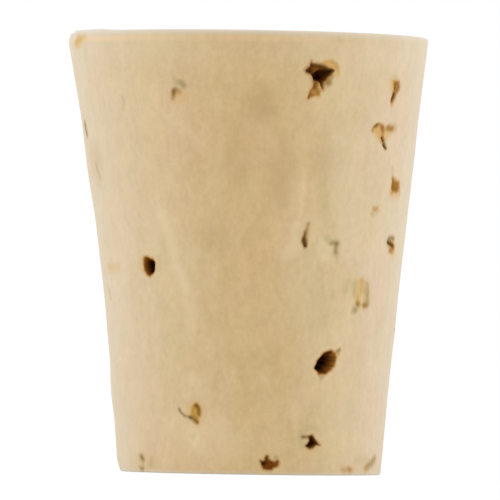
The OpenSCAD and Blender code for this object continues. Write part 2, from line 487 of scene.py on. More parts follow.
def cork_finish():
    """Ground cork: growth bands square to the grain, mottling, flecks and stained pores."""
    cork = Finish(bpy.data.materials.new("ground_cork"))
    own = cork.node("ShaderNodeMapping", {"vector_type": "TEXTURE"},
                    {"Vector": cork.node("ShaderNodeTexCoord", output=3), "Scale": (MM, MM, MM)})
    grain = cork.node("ShaderNodeMapping", {"vector_type": "TEXTURE"},
                      {"Vector": own, "Rotation": (0, 0, math.radians(GRAIN_TURN))})
    right, back, height = (cork.part(own, axis) for axis in range(3))

    def patches(scale, detail=3, stretch=(1, 1, 1), start=0):
        """Soft patches, so many to a millimetre, drawn out along the grain or up the side."""
        scales = [scale * part for part in stretch]
        spread = cork.node("ShaderNodeVectorMath", {"operation": "MULTIPLY_ADD"},
                           {0: grain, 1: scales, 2: (start, start, start)})
        return cork.node("ShaderNodeTexNoise", {},
                         {"Vector": spread, "Scale": 1, "Detail": detail})

    bands = patches(0.7, stretch=(0.12, 1, 0.06))
    clouds = patches(0.35, 2, stretch=(1, 1, 0.5), start=9)
    mottling = patches(1.2, 2, stretch=(1, 1, 0.55), start=14)
    grains = patches(2.8, 1, stretch=(1, 1, 0.7), start=20)
    specks = patches(6, 1, start=27)
    hues = patches(0.4, 3, stretch=(0.6, 1, 0.4), start=31)
    dust = patches(0.5, 2, stretch=(1, 1, 0.4), start=44)
    crumbs = patches(9, 3, start=50)
    years = patches(0.3, 1, stretch=(0.1, 1, 0.03), start=63)

    # The ends are cut across the grain, so the growth bands and their dark edges show there.
    ends = 1 - cork.step(height, *FOOT_END) * (1 - cork.step(height, *TOP_END))
    shade = (BAND_WEIGHT * bands + CLOUD_WEIGHT * clouds + MOTTLING_WEIGHT * mottling
             + GRAIN_WEIGHT * grains + SPECK_WEIGHT * specks + GROUND_SHADE)
    shade = shade + BAND_SHARE * ends * (bands - 0.5)
    plain = cork.mix(cork.step(hues, 0.3, 0.7), linear(CORK_ROSE), linear(CORK_STRAW))
    plain = cork.mix(shade, plain, linear(CORK_PALE))
    plain = cork.mix(DUST_SHARE * cork.step(dust, 0.4, 0.75), plain, linear(DUST_AND_SHEEN_WHITE))
    year_edge = 1 - cork.step(cork.size(years - 0.5), 0, YEAR_LINE)
    plain = cork.mix(YEAR_SHARE * ends * year_edge, plain, linear(AMBER))

    # The wide rim turns pale grey and the top of the side dusty, the foot's rim gets painted light
    # against its shade, and the skin has peeled under the rim.
    from_axis = cork.length(right + math.tan(TAPER_LEAN) * height, back)
    top_rim = (cork.step(height, *TOP_RIM_UP) * cork.step(from_axis, *TOP_RIM_OUT)
               * (1 - RIM_LOSS * cork.step(right, *TOP_RIM_FADE)))
    # Painted light: the foot's rim, in shade where it faces the floor, is painted paler.
    foot_painted_light = (1 - cork.step(height, *FOOT_RIM_UP)) * cork.step(from_axis, *FOOT_RIM_OUT)
    peeled = (cork.step(height, *PEEL_START) * (1 - cork.step(height, *PEEL_STOP))
              * (1 - cork.step(back, *PEEL_BACK)))
    peeled = peeled * (PEEL_SHARE * (1 - cork.step(right, *PEEL_RIGHT))
                       + PEEL_END_SHARE * (1 - cork.step(right, *PEEL_LEFT)))
    top_dust = TOP_DUST_SHARE * cork.step(height, *TOP_DUST)
    plain = cork.mix(top_dust, plain, linear(DUST_AND_SHEEN_WHITE))
    plain = cork.mix(peeled, plain, linear(PEEL))
    plain = cork.mix(RIM_SHARE * top_rim, plain, linear(RIM_GREY))
    plain = cork.mix(foot_painted_light, plain, linear(FOOT_PAINTED_LIGHT))

    # The marks lie over the plain cork, and a painted sheen pales what they leave bare where it is
    # seen edge on.
    stain = cork.node("ShaderNodeVertexColor", {"layer_name": STAIN})
    cover = stain.other("Alpha")
    colour = cork.mix(cover, plain, stain)
    facing = cork.node("ShaderNodeLayerWeight", {}, {"Blend": 0.5}, 1)
    colour = cork.mix(PAINTED_SHEEN * facing ** PAINTED_SHEEN_FALL * (1 - cover), colour, linear(DUST_AND_SHEEN_WHITE))
    relief = CRUMB_RELIEF * crumbs + SPECK_RELIEF * specks
    bump = cork.node("ShaderNodeBump", {},
                     {"Height": relief, "Strength": 0.25, "Distance": 0.05 * MM})
    skin = cork.node("ShaderNodeBsdfPrincipled", {}, {
        "Base Color": colour, "Roughness": 0.8, "Normal": bump, "Specular IOR Level": 0.12})
    lining = cork.node("ShaderNodeBsdfPrincipled", {}, {
        "Base Color": colour, "Roughness": 1, "Normal": bump, "Specular IOR Level": 0})
    surface = cork.node("ShaderNodeMixShader", {}, {0: cover, 1: skin, 2: lining})
    cork.node("ShaderNodeOutputMaterial", {}, {"Surface": surface})
    return cork.owner


def marker(place):
    """Makes marks at one place of the cork."""
    return functools.partial(Mark, place)


# The pores. Outlines lie in the plane of the side, x to the viewer's right and y up.


def open_pore(mark, outline, depth, rim=AMBER, lining=RUST, grow=0.03, wall=0.28, blur=0.3,
              passes=3):
    """A pore open to a dark hole: its edge browned, its wall brown, its floor painted black, partly
    its dark lining and partly painted shade.
    """
    return [
        mark(outline, HONEY, 0.6, 0.35, grow=grow + 0.1),
        mark(outline, rim, 1, 0.25, depth=0.15, wall=0.2, deep=lining, grow=grow, passes=passes),
        mark(outline, lining, 1, 0.2, depth=depth, wall=0.45, grow=grow - 0.1, passes=passes),
        mark(outline, PIT_SHADE_BLACK, 1, blur, grow=grow - wall, passes=passes)]


def crumbled_pore(mark, outline):
    """A shallow pore filled with brown crumbs."""
    return [
        mark(outline, HONEY, 0.7, 0.4, grow=0.15),
        mark(outline, GOLD, 1, 0.3, depth=0.25, wall=0.2, deep=AMBER, grow=0.05, passes=3),
        mark(outline, RUST, 0.7, 0.3, depth=0.15, wall=0.2, deep=UMBER, grow=-0.15, passes=3)]


def channel(mark, wide, tall, seed):
    """A pore channel that lies open along its length, brown inside."""
    mouth = ragged(wide, tall, seed, 14)
    return [
        mark(mouth, HONEY, 0.6, 0.35, grow=0.12, passes=1),
        mark(mouth, AMBER, 1, 0.25, depth=0.45, wall=0.2, deep=RUST, grow=0.04),
        mark(mouth, UMBER, 0.8, 0.25, depth=0.25, wall=0.15, grow=-0.12)]


def star_pore():
    """A star with a deep dark core, a pale lip above it and two legs below."""
    star = marker(side_place(23.6, 0.903))
    body = [(-0.65, 0.8), (-0.55, 0.68), (-0.25, 0.65), (0.15, 0.6), (0.45, 0.5), (0.95, 0.3),
            (0.85, 0.12), (0.64, -0.08), (0.46, -0.28), (0.34, -0.46), (0.29, -0.68), (0.26, -0.92),
            (0.14, -0.86), (0.02, -0.55), (-0.1, -0.4), (-0.35, -0.4), (-0.5, -0.2), (-0.65, 0),
            (-0.9, 0.1), (-1, 0.25), (-0.85, 0.35), (-0.7, 0.45), (-0.68, 0.65)]
    core = [(-0.42, 0.02), (-0.15, 0.2), (0.1, 0.34), (0.5, 0.38), (0.9, 0.27), (0.74, 0.08),
            (0.56, -0.1), (0.4, -0.28), (0.24, -0.42), (0.05, -0.4), (-0.2, -0.36), (-0.35, -0.22)]
    left_leg = [(-0.38, -0.35), (-0.08, -0.4), (-0.08, -0.8), (0.08, -1.05), (0.08, -1.25),
                (-0.3, -1.32), (-0.65, -1.5), (-0.75, -1.45), (-0.62, -1.05), (-0.44, -0.8)]
    lip = [(0.1, 0.65), (0.25, 0.88), (0.75, 0.95), (1.15, 0.75), (1.35, 0.45), (1.3, 0),
           (1.1, -0.1), (1, 0.2), (0.95, 0.35), (0.55, 0.55)]
    shade = [(0.45, 0), (0.9, 0.1), (0.98, -0.15), (0.72, -0.45), (0.5, -0.75), (0.3, -0.6)]
    return [
        star(body, HONEY, 0.6, 0.5, grow=0.15),
        star(lip, FLAX, 0.85, 0.4, depth=0.1),
        star([(0.3, 0.72), (0.75, 0.74), (1.1, 0.5)], TAWNY, 0.6, 0.35, width=0.25),
        star(shade, AMBER, 0.6, 0.5, depth=0.1),
        star([(0.42, -0.32), (0.64, -0.52)], BRONZE, 0.65, 0.45, width=0.34, passes=3),
        star(left_leg, GOLD, 1, 0.3, depth=0.18, wall=0.2, deep=AMBER, grow=0.05, passes=4),
        star([(-0.22, -0.5), (-0.27, -0.85)], RUST, 0.7, 0.25, width=0.2, passes=3),
        star([(-0.5, -1.05), (-0.62, -1.35)], RUST, 0.5, 0.3, width=0.16, passes=3),
        star([(-0.22, -1.05), (-0.12, -1.2)], TAWNY, 0.6, 0.35, width=0.3, passes=3),
        star(body, AMBER, 1, 0.36, depth=0.25, wall=0.2, deep=UMBER, grow=0.05, passes=4),
        star([(-0.03, -0.5), (0, -0.95)], GOLD, 0.9, 0.2, width=0.12, passes=3),
        # Black on the body's left spike and the core's floor: partly dark lining, partly painted
        # shade.
        star([(-0.85, 0.22), (-0.62, 0.18)], PIT_SHADE_BLACK, 0.6, 0.35, width=0.25, passes=4),
        star(core, UMBER, 1, 0.25, depth=0.8, wall=0.3, deep=PIT_SHADE_BLACK, grow=0.05, passes=4),
        star([(-0.2, 0.35), (-0.12, 0)], RUST, 0.8, 0.3, width=0.28, passes=4),
        star([(0.05, 0.1), (0.6, 0.15)], CHESTNUT, 0.25, 0.4, width=0.3, passes=4)]


def comma_pore():
    """A comma, golden at its head and dark at its tail."""
    comma = marker(side_place(56.8, 0.8706))
    body = [(-0.75, 0.75), (-0.45, 0.85), (-0.05, 0.88), (0.4, 0.75), (0.6, 0.45), (0.5, 0.1),
            (0.22, -0.35), (0.05, -0.75), (-0.2, -1.02), (-0.38, -0.85), (-0.45, -0.5),
            (-0.42, -0.2), (-0.6, 0.15), (-0.78, 0.45)]
    golden = [(-0.3, 0.7), (0.05, 0.75), (0.42, 0.6), (0.5, 0.3), (0.3, 0), (0, -0.05),
              (-0.25, 0.25)]
    return [
        comma([(-0.6, 1), (-0.15, 1.1), (0.35, 0.9), (0.25, 0.8), (-0.45, 0.8)], MOSS, 0.4, 0.4),
        comma(body, HONEY, 0.8, 0.45, depth=0.05, wall=0.25, passes=3),
        comma(golden, GOLD, 0.9, 0.35, depth=0.04, deep=TAWNY, passes=3),
        comma([(0.32, 0.6), (0.42, 0.35), (0.28, 0.05)], BRONZE, 0.75, 0.28, width=0.2, depth=0.04,
              passes=3),
        comma([(0.1, 0.48), (0.1, 0.2)], RUST, 0.85, 0.32, width=0.3, depth=0.05, passes=3),
        comma([(-0.28, -0.6), (-0.28, -0.85)], AMBER, 0.4, 0.3, width=0.2, passes=3),
        comma([(0.02, -0.12), (-0.07, -0.3), (-0.2, -0.48)], AMBER, 1, 0.32, width=0.42, depth=0.07,
              wall=0.16, deep=UMBER, passes=3)]


def heart_pore():
    """A heart, pale inside a brown line, with two dark beads at its foot."""
    heart = marker(side_place(51.5, 0.773))
    body = [(-0.95, 0.25), (-0.85, 0.5), (-0.6, 0.6), (-0.2, 0.65), (0.25, 0.5), (0.8, 0.45),
            (1.2, 0.4), (1.1, 0.2), (0.8, 0), (0.6, -0.3), (0.35, -0.55), (-0.15, -0.45),
            (-0.6, -0.1)]
    arc = [(-0.9, 0.2), (-0.8, 0.45), (-0.6, 0.6), (-0.25, 0.62), (0, 0.46), (0.1, 0.32)]
    return [
        heart(body, HONEY, 0.85, 0.4, depth=0.06, wall=0.3, passes=3),
        heart([(-0.45, 0.3), (-0.25, 0), (0, -0.25)], TAWNY, 0.5, 0.45, width=0.55),
        heart(arc, GOLD, 0.8, 0.3, width=0.26, depth=0.05, wall=0.1, deep=AMBER, passes=3),
        heart([(-0.62, 0.53), (-0.48, 0.6)], BRONZE, 1, 0.25, width=0.22, depth=0.04, passes=3),
        heart([(0.02, 0.46), (0.15, 0.15)], AMBER, 0.85, 0.3, width=0.3, passes=3),
        heart([(0.5, 0.44), (1.3, 0.42)], GOLD, 0.65, 0.4, width=0.45, passes=3),
        heart([(0.55, 0.46), (0.95, 0.42)], BRONZE, 0.7, 0.35, width=0.3, passes=3),
        heart([(0.12, -0.2), (0.18, -0.33)], BRONZE, 1, 0.25, width=0.34, depth=0.07, wall=0.13,
              deep=UMBER, passes=3),
        heart([(0.28, -0.57), (0.5, -0.8)], BRONZE, 1, 0.22, width=0.28, depth=0.08, wall=0.13,
              deep=UMBER, passes=3)]


def right_side_pores():
    """A block, a small stain and a hook, down the right side."""
    block = marker(side_place(63.7, 0.656))
    stain = marker(side_place(52, 0.601))
    hook = marker(side_place(66, 0.5235))
    block_body = [(-0.6, 0.6), (-0.15, 0.52), (0.5, 0.38), (0.68, 0.1), (0.75, -0.25), (0.15, -0.3),
                  (-0.35, -0.3), (-0.58, -0.1), (-0.52, 0.25)]
    block_foot = [(-0.65, -0.25), (0.8, -0.25), (0.95, -0.55), (0.6, -0.75), (-0.15, -0.75),
                  (-0.6, -0.5)]
    stain_body = [(-0.45, 0.2), (0.25, 0.25), (0.4, 0), (0.1, -0.25), (-0.4, -0.2)]
    hook_halo = [(-0.6, 0.25), (0.35, 0.3), (0.75, -0.05), (0.8, -0.6), (0.25, -0.85),
                 (-0.35, -0.6), (-0.55, -0.2)]
    hook_foot = [(-0.4, -0.1), (0.45, -0.15), (0.55, -0.35), (0.15, -0.5), (-0.35, -0.42)]
    return [
        block(block_body, PEEL, 0.6, 0.4, grow=0.15),
        block(block_foot, HONEY, 0.55, 0.4, depth=0.05),
        block([(-0.65, 1.2), (-0.55, 0.6)], MOSS, 0.5, 0.35, width=0.25),
        block([(-0.5, -0.28), (-0.4, -0.4)], GOLD, 0.6, 0.35, width=0.35),
        block(block_body, GOLD, 1, 0.35, depth=0.12, wall=0.25, deep=AMBER, passes=3),
        block([(-0.48, 0.5), (-0.38, 0.38)], BRONZE, 0.7, 0.3, width=0.22, passes=3),
        block([(-0.35, 0.15), (-0.2, -0.1), (0.25, -0.17)], BRONZE, 0.8, 0.35, width=0.35,
              passes=3),
        stain(stain_body, GOLD, 0.35, 0.4, depth=0.04),
        stain([(-0.2, 0.12), (0.05, 0.14)], AMBER, 0.55, 0.35, width=0.28),
        stain([(-0.4, -0.2), (-0.25, -0.25)], MOSS, 0.7, 0.35, width=0.25),
        hook(hook_halo, PEEL, 0.6, 0.4),
        hook([(-0.55, 0.42), (-0.2, 0.47), (0.2, 0.42)], OLIVE, 0.9, 0.3, width=0.3),
        hook(hook_foot, GOLD, 0.85, 0.4, depth=0.05),
        hook([(-0.3, -0.25), (0.1, -0.35)], BRONZE, 0.5, 0.4, width=0.3),
        hook([(-0.6, 0.2), (-0.2, 0.12), (0.3, -0.07)], AMBER, 1, 0.36, width=0.34, depth=0.07,
             wall=0.15, deep=BRONZE, passes=3),
        hook([(-0.5, 0.17), (-0.1, 0.06), (0.2, -0.05)], UMBER, 0.9, 0.3, width=0.24, passes=3)]


def middle_pores():
    """A dark slit, an arrow beside it and a fibrous patch to their right."""
    slit = marker(side_place(20.3, 0.536))
    arrow = marker(side_place(33, 0.5141))
    patch = marker(side_place(47, 0.4045))
    drop = [(0, 0.5), (0.1, 0.15), (0.15, -0.2), (0.2, -0.4), (0.15, -0.62), (0, -0.68),
            (-0.12, -0.5), (-0.22, -0.2), (-0.17, 0.05)]
    slit_pale = [(-0.5, 1.3), (-0.15, 0.95), (-0.4, 0.35), (-0.4, -0.85), (-1, -1.5), (-1.4, -1.2),
                 (-1, -0.15), (-0.85, 0.7)]
    arrow_pale = [(-1.1, 0.7), (-0.55, 0.55), (-0.2, 0), (-0.2, -0.65), (-0.8, -0.9), (-1.2, -0.55),
                  (-1.35, 0.2)]
    golden = [(-0.7, 1), (-0.15, 1.15), (0.55, 1), (0.85, 0.45), (0.95, -0.35), (0.65, -0.75),
              (-0.25, -0.75), (-0.65, -0.2), (-0.8, 0.4)]
    return [
        slit(slit_pale, CREAM, 0.3, 0.6, passes=1),
        slit([(-0.25, 3.4), (-0.35, 2.3), (-0.35, 1.45)], CREAM, 0.3, 0.4, width=0.25),
        arrow(arrow_pale, CREAM, 0.35, 0.5, passes=1),
        slit([(0.25, 0.6), (0.15, 0.1)], HONEY, 0.5, 0.35, width=0.25),
        slit([(0.13, 0.86), (0.09, 0.6), (0.02, 0.3)], BRONZE, 0.55, 0.3, width=0.2, depth=0.05,
             wall=0.08, passes=3),
        slit(drop, BRONZE, 1, 0.28, depth=0.12, wall=0.15, passes=4),
        slit([(-0.06, -0.1), (0.02, -0.5)], UMBER, 0.8, 0.3, width=0.24, depth=0.05, passes=4),
        arrow([(0, 0.25), (0.03, 0.1), (0.05, -0.3)], OLIVE, 0.7, 0.4, width=0.3, depth=0.08,
              passes=3),
        arrow([(-0.35, 0.3), (0.15, 0.28)], OLIVE, 0.7, 0.35, width=0.28, passes=3),
        arrow([(-0.75, 0.65), (-0.6, 0.5)], MOSS, 0.6, 0.4, width=0.3),
        arrow([(0.1, -0.35), (0.2, -0.85)], MOSS, 0.6, 0.35, width=0.15),
        patch(golden, FLAX, 0.55, 0.7, depth=0.05, passes=1),
        patch([(0, 1), (0.05, 0.6), (0, 0.2)], FLAX, 0.7, 0.5, width=0.4, depth=0.05, passes=3),
        patch([(-0.6, 0.75), (-0.55, 0.2)], MOSS, 0.65, 0.5, width=0.4),
        patch([(0.2, 0.1), (0.25, -0.4)], CREAM, 0.35, 0.4, width=0.25),
        patch([(0.5, 0.8), (0.65, 0.3), (0.8, -0.3)], MOSS, 0.45, 0.5, width=0.35, depth=0.05,
              wall=0.1, passes=3),
        patch([(0.5, 0.4), (0.7, -0.2)], OLIVE, 0.35, 0.35, width=0.2, passes=3),
        patch([(-0.12, 0.05), (-0.12, -0.4)], TAWNY, 0.55, 0.35, width=0.25, passes=3),
        patch([(-0.15, -0.4), (-0.05, -0.44)], BRONZE, 0.75, 0.35, width=0.32, depth=0.05,
              passes=3),
        patch([(0.45, -0.5), (0.7, -0.48)], BRONZE, 0.7, 0.35, width=0.34, depth=0.05, passes=3),
        patch([(-0.42, -0.82), (-0.3, -0.78)], OLIVE, 0.6, 0.4, width=0.4, depth=0.05, passes=3),
        patch([(-1.1, 1), (-1.2, 0.35)], MOSS, 0.5, 0.4, width=0.25),
        patch([(-1.35, 0.85), (-1.45, 0.4)], MOSS, 0.4, 0.4, width=0.25)]


def oval_pore():
    """The widest pore, a deep oval with ribbed walls and a torn flap at each end."""
    oval = marker(side_place(31.5, 0.253))
    body = [(0.25, 0.82), (0.45, 0.82), (0.65, 0.65), (0.8, 0.4), (0.78, 0.12), (0.62, -0.18),
            (0.44, -0.42), (0.24, -0.57), (0.05, -0.65), (-0.2, -0.65), (-0.35, -0.7),
            (-0.48, -0.64), (-0.58, -0.5), (-0.75, -0.3), (-0.7, -0.1), (-0.65, 0.15), (-0.5, 0.35),
            (-0.3, 0.5), (-0.1, 0.7)]
    return [
        oval(body, CREAM, 0.5, 0.4, grow=0.18),
        oval([(0.7, 0.6), (0.8, 0.85), (1.05, 1), (1.1, 0.7), (0.95, 0.3)], FLAX, 0.9, 0.35,
             depth=0.1, passes=3),
        oval([(0.75, 0.7), (0.98, 0.85)], OLIVE, 0.8, 0.3, width=0.22, passes=3),
        oval([(-0.45, -0.7), (0, -0.7), (-0.05, -0.85), (-0.25, -1)], BRONZE, 0.6, 0.35, depth=0.1,
             passes=3),
        *open_pore(oval, body, 1, lining=WALNUT, wall=0.3, blur=0.2, passes=4),
        # Painted shadow: black strokes where the top and bottom walls fall into the hole's shade.
        oval([(0.15, 0.6), (0.35, 0.7)], PIT_SHADE_BLACK, 0.75, 0.3, width=0.22, passes=4),
        oval([(-0.4, -0.35), (0, -0.48)], PIT_SHADE_BLACK, 0.75, 0.3, width=0.25, passes=4),
        oval([(0.62, 0.55), (0.75, 0.15), (0.5, -0.35)], AMBER, 0.55, 0.3, width=0.22, passes=4),
        oval([(0.2, 0.55), (0.6, 0.4)], UMBER, 0.7, 0.14, width=0.1, passes=4),
        oval([(0.25, 0.25), (0.72, 0.15)], UMBER, 0.7, 0.14, width=0.1, passes=4),
        oval([(0.2, -0.1), (0.62, -0.15)], UMBER, 0.7, 0.14, width=0.1, passes=4)]


def chip_pore():
    """A deep chip on the left side."""
    chip = marker(side_place(-42.2, 0.467))
    body = [(-0.38, 0.57), (-0.05, 0.57), (0.35, 0.48), (0.52, 0.3), (0.52, 0.05), (0.42, -0.25),
            (0.27, -0.5), (0, -0.62), (-0.25, -0.52), (-0.42, -0.25), (-0.45, 0.1), (-0.42, 0.4)]
    return [
        chip([(-0.75, 0.5), (-0.4, 0.55), (-0.45, -0.3), (-0.75, -0.25)], HONEY, 0.8, 0.4),
        chip([(0.7, 0.7), (1, 0.7), (0.95, -0.2), (0.65, -0.25)], MOSS, 0.3, 0.4),
        *open_pore(chip, body, 0.7, lining=WALNUT, wall=0.22, blur=0.25, passes=4),
        # Black down the middle of the hole: partly dark lining, partly painted shade.
        chip([(0.05, 0.1), (-0.05, -0.3)], PIT_SHADE_BLACK, 0.5, 0.3, width=0.26, passes=4),
        chip([(0.45, 0.2), (0.42, -0.1), (0.25, -0.4)], UMBER, 0.45, 0.2, width=0.14, passes=4)]


def tick_pore():
    """A tick near the foot, with a brown head and a thin stroke to its left."""
    tick = marker(side_place(-23.6, 0.1375))
    body = [(-0.22, 0.35), (-0.05, 0.52), (0.15, 0.62), (0.32, 0.4), (0.37, 0.1), (0.32, -0.3),
            (0.2, -0.75), (0.05, -0.5), (-0.2, -0.25), (-0.27, 0.05)]
    pale_up = [(-0.55, 2.25), (0.1, 2.5), (0.9, 2.15), (1, 0.9), (0.6, 0.7), (-0.2, 0.8),
               (-0.75, 0.9)]
    pale_low = [(-0.55, -0.9), (0.05, -1.05), (0.3, -1.5), (0.05, -2.1), (-0.5, -1.9), (-0.8, -1.4)]
    return [
        tick(pale_up, CREAM, 0.22, 0.8, passes=1),
        tick(pale_low, CREAM, 0.25, 0.6, passes=1),
        tick([(-0.1, -1.35), (-0.1, -1.5)], MOSS, 0.5, 0.35, width=0.2),
        tick([(1.6, 2.55), (1.35, 2), (1.25, 1.4)], MOSS, 0.3, 0.35, width=0.15),
        tick(body, HONEY, 0.6, 0.4, grow=0.2),
        tick(body, TAWNY, 1, 0.3, depth=0.12, wall=0.2, passes=3),
        tick([(0.1, 0.42), (0.25, 0.2), (0.25, -0.05)], BRONZE, 1, 0.32, width=0.3, depth=0.06,
             passes=3),
        tick([(-1.05, 0.2), (-0.9, 0), (-0.7, -0.17), (-0.3, -0.28)], OLIVE, 0.85, 0.3, width=0.17,
             depth=0.06, wall=0.08, passes=3),
        tick([(-0.3, -0.25), (-0.05, -0.4), (0.13, -0.56)], BRONZE, 0.95, 0.28, width=0.24,
             depth=0.08, wall=0.13, passes=3)]


def foot_pores():
    """A claw and a crown at the foot."""
    claw = marker(side_place(26.8, 0.076))
    crown = marker(side_place(8.5, 0.026))
    claw_body = [(-0.2, 0.37), (0, 0.44), (0.2, 0.32), (0.35, 0.12), (0.5, -0.03), (0.63, -0.2),
                 (0.48, -0.2), (0.35, -0.27), (0.15, -0.42), (-0.05, -0.47), (-0.3, -0.35),
                 (-0.37, -0.22), (-0.22, -0.1), (-0.13, 0.05), (-0.15, 0.2)]
    claw_left = [(-0.85, 0.7), (-0.6, 0.8), (-0.55, 0.35), (-0.4, -0.3), (-0.5, -0.65),
                 (-0.8, -0.3)]
    claw_top = [(-0.65, 1.1), (0.2, 1), (0.4, 0.65), (-0.1, 0.6), (-0.6, 0.65)]
    claw_low = [(-0.45, -0.5), (0.3, -0.45), (0.45, -0.7), (0.05, -0.9), (-0.4, -0.75)]
    crown_body = [(-0.55, 0.2), (-0.3, 0.17), (-0.25, 0.4), (-0.15, 0.5), (-0.05, 0.45), (0, 0.27),
                  (0.15, 0.17), (0.35, 0.14), (0.55, 0.2), (0.65, 0.05), (0.55, -0.15),
                  (0.35, -0.27), (0.2, -0.42), (-0.1, -0.42), (-0.35, -0.37), (-0.47, -0.1)]
    crown_left = [(-0.5, 0.15), (-0.3, 0.15), (-0.1, 0.15), (-0.05, -0.05), (-0.25, -0.15),
                  (-0.45, -0.1)]
    return [
        claw(claw_left, MOSS, 0.5, 0.4, passes=1),
        claw(claw_top, MOSS, 0.4, 0.4, passes=1),
        claw(claw_low, HONEY, 0.5, 0.4, passes=1),
        claw([(-0.55, 0.27), (-0.2, 0.3)], OLIVE, 1, 0.28, width=0.25, depth=0.15, passes=3),
        *open_pore(claw, claw_body, 0.5, rim=RUST, lining=UMBER, grow=0.02),
        # Black over the claw's hole: partly dark lining, partly painted shade.
        claw(claw_body, PIT_SHADE_BLACK, 0.9, 0.3, grow=-0.09, passes=3),
        crown(crown_body, PEEL, 0.5, 0.35, grow=0.15),
        crown(crown_body, AMBER, 1, 0.28, depth=0.3, wall=0.2, deep=WALNUT, grow=0.04, passes=3),
        # Black over the crown's left part: partly dark lining, partly painted shade.
        crown(crown_left, PIT_SHADE_BLACK, 0.6, 0.4, depth=0.2, wall=0.2, passes=3),
        crown([(0.05, -0.05), (0.3, -0.1)], CHESTNUT, 0.5, 0.3, width=0.25, passes=3),
        crown([(-0.15, 0.42), (-0.13, 0.22)], BRONZE, 0.7, 0.25, width=0.2, passes=3),
        crown([(0.42, 0.08), (0.62, 0.1)], GOLD, 0.5, 0.3, width=0.2, passes=3),
        crown([(0.4, 0.36), (0.45, 0.35)], OLIVE, 0.6, 0.3, width=0.2)]


